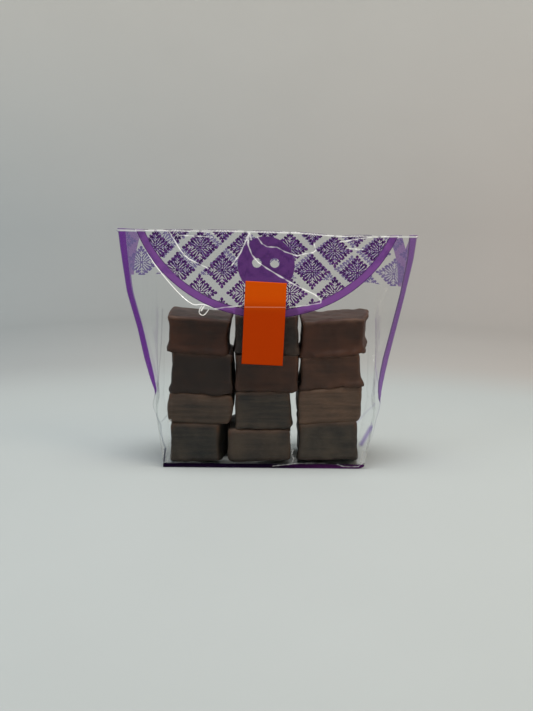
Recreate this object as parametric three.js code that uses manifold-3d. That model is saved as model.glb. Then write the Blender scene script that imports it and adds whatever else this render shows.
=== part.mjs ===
import * as THREE from 'three';
import { mergeVertices } from 'three/addons/utils/BufferGeometryUtils.js';
import Module from 'manifold-3d';

const wasm = await Module();
wasm.setup();

// A filled stand-up bag. Millimetres, +Z up, front panel towards -Y, flat base on z = 0.
const bagHeight = 124.8;
const baseWidth = 108;
const baseDepth = 46;
const topWidth = 158;

// The side seams swell at the hip, and the front panel leans back above the shoulder.
const hipHeight = 31;
const hipWidth = 125;
const shoulderHeight = 88;
const shoulderWidth = 148.5;
const neckHeight = 112;
const neckWidth = 155.6;

// The top fold lies behind the front panel, rises in the middle and falls a little towards +X.
const foldSetback = 13.5;
const foldThickness = 1.2;
const foldDrop = 0.9;
const foldCrown = 1.8;

// The front panel swells a little over the contents.
const belly = 1;

// A flap with a round edge folds down over the front, and a paper label holds it shut.
const flapRadius = 81;
const flapBottom = 83.4;
const flapRelief = 0.6;
const labelWidth = 21.8;
const labelHeight = 42.6;
const labelCentre = new THREE.Vector2(-1.4, 79.3);
const labelTurn = THREE.MathUtils.degToRad(2.5);
const labelThickness = 0.4;
const gap = 0.3;

const front = -baseDepth / 2;
const fold = front + foldSetback;
const reach = 60;

// One station per bend of the side view: half widths at the seam and at the panel corners,
// then the depths of the front panel, the back panel and the seam.
const lean = (neckHeight - shoulderHeight) / (bagHeight - shoulderHeight);
const shoulderBack = 15;
const neckBack = THREE.MathUtils.lerp(shoulderBack, fold, lean * 0.9);
const stations = [
  { z: 0, seam: baseWidth / 2 + 2.5, corner: baseWidth / 2, front, back: -front, middle: 2 },
  { z: hipHeight, seam: hipWidth / 2, corner: 58.5, front, back: -front - 1, middle: 3 },
  { z: shoulderHeight, seam: shoulderWidth / 2, corner: 56, front, back: shoulderBack, middle: 0 },
  {
    z: neckHeight,
    seam: neckWidth / 2,
    corner: 60,
    front: front + foldSetback * lean,
    back: neckBack,
    middle: fold * 0.8,
  },
  {
    z: bagHeight,
    seam: topWidth / 2,
    corner: 66,
    front: fold - foldThickness / 2,
    back: fold + foldThickness / 2,
    middle: fold,
  },
];

const rowsPerStation = 7;
const sides = 64;

// The section between two stations, at a height from 0 (base) to 1 (top fold).
function sectionAt(height) {
  const place = height * (stations.length - 1);
  const below = Math.min(Math.floor(place), stations.length - 2);
  const share = place - below;
  const section = {};
  for (const key of Object.keys(stations[0])) {
    section[key] = THREE.MathUtils.lerp(stations[below][key], stations[below + 1][key], share);
  }
  return section;
}

// A point on the outline, walking left seam, front corners, right seam, back corners.
function outlinePoint(section, walk, outset) {
  const corners = [
    [0, -section.seam, section.middle],
    [1 / 8, -section.corner, section.front - outset],
    [3 / 8, section.corner, section.front - outset],
    [1 / 2, section.seam, section.middle],
    [5 / 8, section.corner, section.back],
    [7 / 8, -section.corner, section.back],
    [1, -section.seam, section.middle],
  ];
  const next = Math.max(1, corners.findIndex((corner) => corner[0] >= walk - 1e-6));
  const [start, x0, y0] = corners[next - 1];
  const [end, x1, y1] = corners[next];
  const share = (walk - start) / (end - start);
  const x = THREE.MathUtils.lerp(x0, x1, share);
  let y = THREE.MathUtils.lerp(y0, y1, share);
  if (next === 2 && section.z < shoulderHeight) {
    const across = 1 - (x / section.corner) ** 2;
    y -= belly * across * Math.sin((Math.PI * section.z) / shoulderHeight);
  }
  return new THREE.Vector2(x, y);
}

// The filled bag, with its front swollen by an outset, from a cylinder drawn to the sections.
function bagSolid(outset) {
  const rows = rowsPerStation * (stations.length - 1);
  const geometry = new THREE.CylinderGeometry(1, 1, 1, sides, rows);
  const position = geometry.getAttribute('position');
  for (let i = 0; i < position.count; i += 1) {
    const section = sectionAt(position.getY(i) + 0.5);
    const radius = Math.hypot(position.getX(i), position.getZ(i));
    const turn = Math.atan2(position.getX(i), position.getZ(i)) / (2 * Math.PI);
    const walk = (Math.round(turn * sides) / sides + 1) % 1;
    const middle = new THREE.Vector2(0, (section.front + section.back) / 2);
    const point = radius > 0.5 ? outlinePoint(section, walk, outset) : middle;
    const side = point.x / (topWidth / 2);
    const rise = foldCrown * (1 - side ** 2) - foldDrop * side;
    position.setXYZ(i, point.x, point.y, section.z + rise * (section.z / bagHeight) ** 3);
  }
  return solidOf(geometry);
}

function solidOf(geometry) {
  geometry.deleteAttribute('normal');
  geometry.deleteAttribute('uv');
  const merged = mergeVertices(geometry, 1e-3);
  const mesh = new wasm.Mesh({
    numProp: 3,
    vertProperties: new Float32Array(merged.getAttribute('position').array),
    triVerts: new Uint32Array(merged.index.array),
  });
  return new wasm.Manifold(mesh);
}

function meshOf(name, solid, material) {
  const made = solid.getMesh();
  const geometry = new THREE.BufferGeometry();
  geometry.setAttribute('position', new THREE.BufferAttribute(made.vertProperties, 3));
  geometry.setIndex(new THREE.BufferAttribute(made.triVerts, 1));
  geometry.computeVertexNormals();
  const mesh = new THREE.Mesh(geometry, material);
  mesh.name = name;
  return mesh;
}

const film = new THREE.MeshStandardMaterial({ color: '#8a7c86', roughness: 0.18, metalness: 0 });
const paper = new THREE.MeshStandardMaterial({ color: '#c4490a', roughness: 0.45, metalness: 0 });

// The flap is the part of a slightly swollen front that lies inside its round outline.
const flapOutline = new THREE.CylinderGeometry(flapRadius, flapRadius, reach, 120);
flapOutline.translate(0, fold - reach / 2, flapBottom + flapRadius);
const flap = bagSolid(flapRelief).intersect(solidOf(flapOutline));
const bag = bagSolid(0).add(flap);

// The label is a shell just clear of the flap, cut to a turned rectangle.
const labelOutline = new THREE.BoxGeometry(labelWidth, reach, labelHeight);
labelOutline.rotateY(labelTurn);
labelOutline.translate(labelCentre.x, fold - reach / 2, labelCentre.y);
const labelInside = flapRelief + gap;
const label = bagSolid(labelInside + labelThickness)
  .intersect(solidOf(labelOutline))
  .subtract(bagSolid(labelInside));

const part = new THREE.Group();
part.name = 'filled_bag';
part.add(meshOf('bag', bag, film));
part.add(meshOf('label', label, paper));

// The origin is the middle of the base of the part's box.
const middle = new THREE.Box3().setFromObject(part).getCenter(new THREE.Vector3());
for (const mesh of part.children) {
  mesh.geometry.translate(-middle.x, -middle.y, 0);
}

export default part;
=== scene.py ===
import math

import bpy
import numpy as np
from mathutils import Matrix, Vector


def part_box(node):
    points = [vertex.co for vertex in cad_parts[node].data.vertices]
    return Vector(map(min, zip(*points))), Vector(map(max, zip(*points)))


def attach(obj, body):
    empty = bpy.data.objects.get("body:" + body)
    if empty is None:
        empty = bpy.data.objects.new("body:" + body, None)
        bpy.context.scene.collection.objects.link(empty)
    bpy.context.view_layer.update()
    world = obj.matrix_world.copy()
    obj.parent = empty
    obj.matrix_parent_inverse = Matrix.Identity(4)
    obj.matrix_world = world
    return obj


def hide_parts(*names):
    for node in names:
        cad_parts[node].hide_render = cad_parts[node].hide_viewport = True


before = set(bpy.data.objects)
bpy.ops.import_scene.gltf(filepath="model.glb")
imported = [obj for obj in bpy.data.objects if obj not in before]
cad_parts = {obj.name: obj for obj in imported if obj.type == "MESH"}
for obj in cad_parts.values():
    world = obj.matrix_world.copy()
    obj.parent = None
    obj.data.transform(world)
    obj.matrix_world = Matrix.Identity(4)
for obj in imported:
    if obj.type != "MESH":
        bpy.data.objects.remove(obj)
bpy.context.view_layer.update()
bagLow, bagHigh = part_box("bag")
mm = 0.001
print("frame loaded, bag from", [round(v, 4) for v in bagLow], "to", [round(v, 4) for v in bagHigh])


def toLinear(code):
    parts = [int(code[i:i + 2], 16) / 255 for i in (1, 3, 5)]
    return [c / 12.92 if c <= 0.04045 else ((c + 0.055) / 1.055) ** 2.4 for c in parts] + [1.0]


# adds a node with its settings and links, and gives back one of its outputs
# a setting for two sockets at once has both as its key, and two values
def addNode(tree, kind, settings, links=None, out=0):
    node = tree.nodes.new("ShaderNode" + kind)
    for key, value in settings.items():
        if isinstance(key, str) and hasattr(node, key):
            setattr(node, key, value)
        elif isinstance(key, tuple):
            for socket, part in zip(key, value):
                node.inputs[socket].default_value = part
        else:
            node.inputs[key].default_value = value
    for key, source in (links or {}).items():
        tree.links.new(source, node.inputs[key])
    return node.outputs[out] if node.outputs else None


# settings that many nodes share
times = {"operation": "MULTIPLY"}
larger = {"operation": "MAXIMUM"}
cutAway = {"operation": "SUBTRACT", "use_clamp": True}
colourMix = {"data_type": "RGBA"}
colourTimes = {"data_type": "RGBA", "blend_type": "MULTIPLY", 0: 1.0}


def newMaterial(name):
    material = bpy.data.materials.new(name)
    material.use_nodes = True
    material.node_tree.nodes.clear()
    return material, material.node_tree


def applyModifiers(piece):
    bpy.context.view_layer.objects.active = piece
    for modifier in list(piece.modifiers):
        bpy.ops.object.modifier_apply(modifier=modifier.name)


def readVertices(piece):
    flat = np.empty(len(piece.data.vertices) * 3, np.float32)
    piece.data.vertices.foreach_get("co", flat)
    return flat.reshape(-1, 3).astype(float)


def writeVertices(piece, places):
    piece.data.vertices.foreach_set("co", places.reshape(-1).astype(np.float32))
    piece.data.update()


# a flat grid, the start of every sheet, with the places of its points
def addGrid(name, columns, rows, size=2):
    bpy.ops.object.select_all(action="DESELECT")
    bpy.ops.mesh.primitive_grid_add(x_subdivisions=columns, y_subdivisions=rows, size=size)
    piece = bpy.context.object
    piece.name = name
    piece.data.name = name
    return piece, readVertices(piece)


# a sheet on the front has its faces turned forward
def faceFront(piece):
    if piece.data.polygons[len(piece.data.polygons) // 2].normal.y > 0:
        piece.data.flip_normals()
    bpy.ops.object.shade_smooth()


def addVectors(piece, name, columns):
    layer = piece.data.attributes.new(name, "FLOAT_VECTOR", "POINT")
    layer.data.foreach_set("vector", np.stack(columns, axis=-1).reshape(-1).astype(np.float32))


def readVectors(piece, name):
    flat = np.empty(len(piece.data.vertices) * 3, np.float32)
    piece.data.attributes[name].data.foreach_get("vector", flat)
    return flat.reshape(-1, 3)


# distance from each point to the nearest stretch of a drawn line, and how far along the line that is
def lineDistance(points, x, y):
    best, run = np.full(x.shape, 1e3), np.zeros_like(x)
    count = len(points) - 1
    for i in range(count):
        (x0, y0), (x1, y1) = points[i], points[i + 1]
        dx, dy = x1 - x0, y1 - y0
        share = np.clip(((x - x0) * dx + (y - y0) * dy) / (dx * dx + dy * dy), 0, 1)
        away = np.hypot(x - x0 - dx * share, y - y0 - dy * share)
        run = np.where(away < best, (i + share) / count, run)
        best = np.minimum(best, away)
    return best, run


# height of the creases at each point, up to 1: hard ones fade and thicken a little along their run
def creaseHeight(creases, x, y, spread=1.0):
    height = np.zeros_like(x)
    for points, width, tall in creases:
        away, run = lineDistance(points, x, y)
        swell = 1 if tall < 0 else 0.8 + 0.2 * np.sin(9 * run + 3 * tall) * np.sin(23 * run)
        ridge = tall * swell * np.exp(-(away / (width * spread * swell)) ** 2)
        height = np.where(np.abs(ridge) > np.abs(height), ridge, height)
    return height


# weights too slight to show are left out
def fillGroup(piece, name, weights):
    group = piece.vertex_groups.new(name=name)
    for index in np.flatnonzero(weights > 0.004):
        group.add([int(index)], float(min(weights[index], 1)), "REPLACE")


def addDisplace(piece, name, strength, group="", texture=None, middle=0.5):
    push = piece.modifiers.new(name, "DISPLACE")
    push.strength = strength * mm
    push.mid_level = middle if texture else 0.0
    push.vertex_group = group
    if texture:
        push.texture = texture
        push.texture_coords = "LOCAL"


def newClouds(name, size, depth=1):
    clouds = bpy.data.textures.new(name, "CLOUDS")
    clouds.noise_scale = size * mm
    clouds.noise_depth = depth
    return clouds


# The bag's form in millimetres, as in the solids: height, then half width at the seam and at
# the panel corners, then the depths of front, back and seam. Below the seams the film is dented.
bagForm = {
    "stations": [
        (0.0, 55.4, 54.0, -23.0, 23.0, 2.0),
        (7.0, 56.9, 55.0, -23.0, 22.8, 2.2),
        (13.0, 59.2, 55.9, -23.0, 22.6, 2.4),
        (20.0, 60.2, 56.9, -23.0, 22.4, 2.6),
        (28.0, 63.3, 58.1, -23.0, 22.1, 2.9),
        (35.0, 61.4, 58.3, -23.0, 21.5, 2.8),
        (43.0, 64.2, 58.0, -23.0, 20.5, 2.4),
        (55.0, 67.4, 57.5, -23.0, 19.0, 1.8),
        (88.0, 74.25, 56.0, -23.0, 15.0, 0.0),
        (112.0, 77.8, 60.0, -14.2, 0.6, -7.6),
        (124.8, 79.0, 66.0, -10.1, -8.9, -9.5),
    ],
    "shoulder": 88.0,
    "belly": 1.0,
    "foldCrown": 1.8,
    "foldDrop": 0.9,
    # how far the top fold wanders from that, by place across
    "foldWander": [
        (-79, 1.4), (-66, 0.6), (-40, 0.3), (0, -0.2), (18, -0.3), (26, -0.8),
        (36, -1.4), (43, -1.1), (50, -0.5), (62, -0.3), (70, 0.3), (79, 0.9),
    ],
    "wanderFade": 14,
    "floorGap": 0.25,
}
stations = np.array(bagForm["stations"])
bagTop = stations[-1, 0]
shoulder = bagForm["shoulder"]
foldDepth = stations[-1, 5]
depthShift = bagHigh[1] / mm - stations[0, 4]
leanCos = (bagTop - shoulder) / math.hypot(bagTop - shoulder, foldDepth - stations[0, 3])


# half width at seam and corner, depth of front, back and seam, with the bends eased over 4 mm
def sectionAt(z):
    heights = stations[:, 0]
    eased = [[np.interp(z + s, heights, sizes) for s in (-2, -1, 0, 1, 2)] for sizes in stations[:, 1:].T]
    return [np.mean(steps, axis=0) for steps in eased]


def foldRise(x, z):
    side = x / stations[-1, 1]
    crown = (bagForm["foldCrown"] * (1 - side ** 2) - bagForm["foldDrop"] * side) * (z / bagTop) ** 3
    wander = np.array(bagForm["foldWander"])
    steps = [np.interp(x + s, wander[:, 0], wander[:, 1]) for s in (-3, 0, 3)]
    return crown + np.mean(steps, axis=0) * np.clip(z / bagTop, 0, 1) ** bagForm["wanderFade"]


def frontDepth(x, z):
    seam, corner, front, _, middle = sectionAt(z)
    inside = np.clip(1 - (x / corner) ** 2, 0, 1)
    swell = bagForm["belly"] * inside * np.sin(np.pi * np.clip(z / shoulder, 0, 1))
    along = np.clip((np.abs(x) - corner) / (seam - corner), 0, 1)
    return front + (middle - front) * along - swell


def toMetres(x, y, z):
    return np.stack([x * mm, (y + depthShift) * mm, z * mm], axis=-1)


# Print on the film: purple ink in a lattice of diamond medallions, with an arc band and a plain
# two-hole disc. Places are millimetres on the sheet: across from the middle, along from the top fold.
inkPrint = {
    "arcCentre": (-0.25, -28.75, 0.0),
    "arcRadius": 73.1,
    "arcHalfWidth": 2.05,
    "latticeStep": 11.8,
    "latticeStart": (0.0, -2.0, 0.0),
    "discCentre": (-0.6, 18.5, 0.0),
    "discRadius": 15.0,
    "discDeep": 0.5,
    "holes": [(-5.5, 17.6, 0.0), (3.9, 17.5, 0.0)],
    "holeRadius": 2.5,
    "backStart": (0.47, -20.6, 0.0),
    "backRadius": 74.1,
    "backEnd": 28.0,
    "backTilt": 0.034,
    "backHoles": [(-5.9, -19.9, 0.0), (4.2, -19.8, 0.0)],
    # a light notch beside the right seam: place across, half width, slope
    "notch": (76.6, 1.7, 0.32),
    "bandEdge": 0.4,
    "mottle": 0.7,  # per millimetre: spots of about 1.4 mm
    "mottleSpan": (0.35, 0.65),
    "mottleShare": (0.35, 1.0),
    "seamMottle": 0.6,  # spots of about 1.7 mm
    "seamCover": (0.92, 1.0),
    "seamReach": (-60.0, 60.0),
    "seamThin": (1.0, 0.87),
    "weld": 0.8,
    "hem": 2.3,
    "hemEnd": (53.6, 55.6),
    "hemPaintedShade": (8.0, 30.0),
    "soft": 0.08,
    # an eighth of a medallion: beads round its field, and the pale strokes left inside it
    "fieldEdge": 8.0,
    "beads": [
        ((8.4, 0.0), (8.7, 0.0), 0.78),
        ((7.15, 1.15), (7.3, 1.25), 0.58),
        ((5.85, 2.5), (5.95, 2.6), 0.62),
        ((4.5, 3.8), (4.6, 3.95), 0.62),
    ],
    "strokes": [
        ((0.9, 0.0), (2.2, 0.0), 0.25),
        ((3.1, 0.0), (6.5, 0.0), 0.25),
        ((3.5, 0.1), (4.5, 1.1), 0.23),
        ((5.0, 0.1), (5.9, 1.0), 0.23),
        ((0.9, 0.9), (3.6, 3.6), 0.26),
        ((2.2, 0.95), (4.7, 2.3), 0.25),
    ],
}


# one where a distance is under its limit, with a soft printed edge
def inkEdge(tree, distance, limit):
    edge = (limit - inkPrint["soft"], limit + inkPrint["soft"])
    return addNode(tree, "MapRange", {(1, 2): edge, (3, 4): (1.0, 0.0)}, {0: distance})


def strokeEdge(tree, spot, strokes, best=None):
    for (x0, y0), (x1, y1), width in strokes:
        run = (x1 - x0, y1 - y0, 0.0)
        square = run[0] ** 2 + run[1] ** 2
        unit = (run[0] / square, run[1] / square, 0.0)
        away = addNode(tree, "VectorMath", {"operation": "SUBTRACT", 1: (x0, y0, 0.0)}, {0: spot})
        dot = addNode(tree, "VectorMath", {"operation": "DOT_PRODUCT", 1: unit}, {0: away}, "Value")
        share = addNode(tree, "Clamp", {}, {0: dot})
        foot = addNode(tree, "VectorMath", {"operation": "SCALE", 0: run}, {"Scale": share})
        gap = addNode(tree, "VectorMath", {"operation": "DISTANCE"}, {0: away, 1: foot}, "Value")
        edge = addNode(tree, "Math", {"operation": "SUBTRACT", 1: width}, {0: gap})
        best = addNode(tree, "Math", {"operation": "MINIMUM"}, {0: best, 1: edge}) if best else edge
    return best


def latticeMask(tree, spot, start):
    step = inkPrint["latticeStep"]
    place = addNode(tree, "VectorMath", {"operation": "SUBTRACT", 1: start}, {0: spot})
    x, y, _ = addNode(tree, "SeparateXYZ", {}, {0: place}).node.outputs
    turned = []
    for operation in ("ADD", "SUBTRACT"):
        mixed = addNode(tree, "Math", {"operation": operation}, {0: x, 1: y})
        turned.append(addNode(tree, "Math", {"operation": "WRAP", 1: step, 2: -step}, {0: mixed}))
    folded = []
    for operation in ("ADD", "SUBTRACT"):
        mixed = addNode(tree, "Math", {"operation": operation}, {0: turned[0], 1: turned[1]})
        half = addNode(tree, "Math", {"operation": "MULTIPLY", 1: 0.5}, {0: mixed})
        folded.append(addNode(tree, "Math", {"operation": "ABSOLUTE"}, {0: half}))
    far = addNode(tree, "Math", larger, {0: folded[0], 1: folded[1]})
    near = addNode(tree, "Math", {"operation": "MINIMUM"}, {0: folded[0], 1: folded[1]})
    eighth = addNode(tree, "CombineXYZ", {}, {0: far, 1: near})
    total = addNode(tree, "Math", {"operation": "ADD"}, {0: far, 1: near})
    field = addNode(tree, "Math", {"operation": "SUBTRACT", 1: inkPrint["fieldEdge"]}, {0: total})
    field = inkEdge(tree, strokeEdge(tree, eighth, inkPrint["beads"], field), 0.0)
    pale = inkEdge(tree, strokeEdge(tree, eighth, inkPrint["strokes"]), 0.0)
    return addNode(tree, "Math", cutAway, {0: field, 1: pale})


def distanceTo(tree, spot, place):
    return addNode(tree, "VectorMath", {"operation": "DISTANCE", 1: place}, {0: spot}, "Value")


def cutHoles(tree, spot, shape, places):
    for place in places:
        hole = inkEdge(tree, distanceTo(tree, spot, place), inkPrint["holeRadius"])
        shape = addNode(tree, "Math", cutAway, {0: shape, 1: hole})
    return shape


# Each print gives where its ink lies, and where that ink is the deeper one.
def flapPrint(tree, spot):
    reach = distanceTo(tree, spot, inkPrint["arcCentre"])
    offset = addNode(tree, "Math", {"operation": "SUBTRACT", 1: inkPrint["arcRadius"]}, {0: reach})
    ring = addNode(tree, "Math", {"operation": "ABSOLUTE"}, {0: offset})
    band = inkEdge(tree, ring, inkPrint["arcHalfWidth"])
    disc = inkEdge(tree, distanceTo(tree, spot, inkPrint["discCentre"]), inkPrint["discRadius"])
    plain = addNode(tree, "Math", larger, {0: band, 1: disc})
    lattice = latticeMask(tree, spot, inkPrint["latticeStart"])
    inside = inkEdge(tree, reach, inkPrint["arcRadius"])
    bare = addNode(tree, "Invert", {}, {"Color": plain})
    for limit in (inside, bare):
        lattice = addNode(tree, "Math", times, {0: lattice, 1: limit})
    shape = addNode(tree, "Math", larger, {0: lattice, 1: plain})
    # ink gathers along the edges of the band and in parts of the lattice
    inner = inkEdge(tree, ring, inkPrint["arcHalfWidth"] - inkPrint["bandEdge"])
    rims = addNode(tree, "Math", cutAway, {0: band, 1: inner})
    mottle = addNode(tree, "TexNoise", {"Scale": inkPrint["mottle"], "Detail": 2.0}, {"Vector": spot})
    gathered = {(1, 2): inkPrint["mottleSpan"], (3, 4): inkPrint["mottleShare"]}
    mottle = addNode(tree, "MapRange", gathered, {0: mottle})
    deep = addNode(tree, "Math", larger, {0: lattice, 1: rims})
    deep = addNode(tree, "Math", times, {0: deep, 1: mottle})
    discInk = {"operation": "MULTIPLY_ADD", 1: inkPrint["discDeep"]}
    deep = addNode(tree, "Math", discInk, {0: disc, 2: deep})
    return cutHoles(tree, spot, shape, inkPrint["holes"]), deep


def backPrint(tree, spot):
    across, along, _ = addNode(tree, "SeparateXYZ", {}, {0: spot}).node.outputs
    inside = inkEdge(tree, distanceTo(tree, spot, inkPrint["arcCentre"]), inkPrint["backRadius"])
    deep = latticeMask(tree, spot, inkPrint["backStart"])
    lattice = cutHoles(tree, spot, deep, inkPrint["backHoles"])
    lattice = addNode(tree, "Math", times, {0: lattice, 1: inside})
    shape = addNode(tree, "Invert", {}, {"Color": inside})
    place, halfWidth, slope = inkPrint["notch"]
    away = addNode(tree, "Math", {"operation": "SUBTRACT", 1: place}, {0: across})
    away = addNode(tree, "Math", {"operation": "ABSOLUTE"}, {0: away})
    away = addNode(tree, "Math", {"operation": "MULTIPLY_ADD", 1: -slope}, {0: along, 2: away})
    notch = inkEdge(tree, away, halfWidth)
    shape = addNode(tree, "Math", cutAway, {0: shape, 1: notch})
    shape = addNode(tree, "Math", larger, {0: shape, 1: lattice})
    depth = addNode(tree, "Math", {"operation": "MULTIPLY", 1: -1.0}, {0: along})
    upper = inkEdge(tree, depth, inkPrint["backEnd"])
    return addNode(tree, "Math", times, {0: shape, 1: upper}), deep


# the seams are printed all over, deeper along the weld at their root and paler towards the right
def seamPrint(tree, spot):
    across, fromRoot, _ = addNode(tree, "SeparateXYZ", {}, {0: spot}).node.outputs
    mottle = addNode(tree, "TexNoise", {"Scale": inkPrint["seamMottle"], "Detail": 2.0}, {"Vector": spot})
    cover = addNode(tree, "MapRange", {(3, 4): inkPrint["seamCover"]}, {0: mottle})
    toRight = {(1, 2): inkPrint["seamReach"], (3, 4): inkPrint["seamThin"]}
    thinner = addNode(tree, "MapRange", toRight, {0: across})
    cover = addNode(tree, "Math", times, {0: cover, 1: thinner})
    return cover, inkEdge(tree, fromRoot, inkPrint["weld"])


# the base hem is darker on the left, painted shade where it lies in shadow, and runs out on the sides
def basePrint(tree, spot):
    across, up, _ = addNode(tree, "SeparateXYZ", {}, {0: spot}).node.outputs
    side = addNode(tree, "Math", {"operation": "ABSOLUTE"}, {0: across})
    drop = addNode(tree, "MapRange", {(1, 2): inkPrint["hemEnd"], 4: inkPrint["hem"]}, {0: side})
    level = addNode(tree, "Math", {"operation": "ADD"}, {0: up, 1: drop})
    deep = addNode(tree, "MapRange", {(1, 2): inkPrint["hemPaintedShade"], (3, 4): (1.0, 0.0)}, {0: across})
    return inkEdge(tree, level, inkPrint["hem"]), deep


# Cast polypropylene film: clear, thin and shiny, so the eye sees only its glints, its ink and the
# white lines along hard creases, partly stress whitening and partly painted highlight.
film = {
    "clear": "#fdfefe",
    "reflect": (0.003, 0.6),  # face on, and at a grazing angle
    "rimPower": 5.0,
    "roughness": 0.09,
    "crumple": 7.0,
    "crumpleBump": (0.12, 0.0006),
    # a hard crease turns white as it rises, partly stress whitening and partly painted highlight, and a
    # soft fold gets painted shade, in purple towards the right
    "whiteningAndHighlight": "#f4f6f6",
    "whiteLineRise": (0.2, 0.75),
    "whiteLineShare": 0.92,
    "creaseGlint": 0.06,
    "fold": "#6a6280",
    "paintedPurpleShade": "#7c36c0",
    "paintedPurpleShadeReach": (-20.0, 40.0),
    "foldRise": (-0.15, -1.2),
    "paintedShadeShare": 0.9,
    # streaks of painted white sheen, standing in for reflection, on the slack sides, stronger low down at
    # the front corners
    "paintedSheen": 0.09,
    "paintedSheenStreak": (0.4, 0.015, 1.0),  # per millimetre: 2.5 mm across, 65 mm along
    "paintedSheenRise": (0.45, 0.8),
    "paintedSheenReach": (53.0, 57.0),
    "lowPaintedSheen": 0.38,
    "lowPaintedSheenUp": (26.0, 4.0),
    "lowPaintedSheenReach": (49.5, 53.0),
    "lowPaintedSheenDepth": (-21.0, -11.0),
}
# each ink lets some light through, which it tints, and covers the rest: plain colour, deep colour,
# with the share that it covers, how much a white crease shows on it, and the painted white sheen of the
# film beside it
inks = {
    "flap": {"tint": ("#9c5cbc", "#360f5a"), "body": ("#82549a", "#240b40"),
             "share": 0.5, "veil": 0.68, "paintedSheen": 0.05},
    "back": {"tint": ("#ccaae8", "#a996d8"), "body": ("#86629f", "#7566a4"),
             "share": 0.25, "veil": 0.68, "paintedSheen": 0.0},
    "seam": {"tint": ("#9c46cc", "#7832a0"), "body": ("#6e2e96", "#4c2070"),
             "share": 0.45, "veil": 1.0, "paintedSheen": 0.0},
    # the base ink's deep colour, near black, is painted shade where the hem lies in shadow
    "base": {"tint": ("#7a3486", "#2c0842"), "body": ("#431a4c", "#150422"),
             "share": 0.6, "veil": 0.68, "paintedSheen": 0.0},
}


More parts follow.
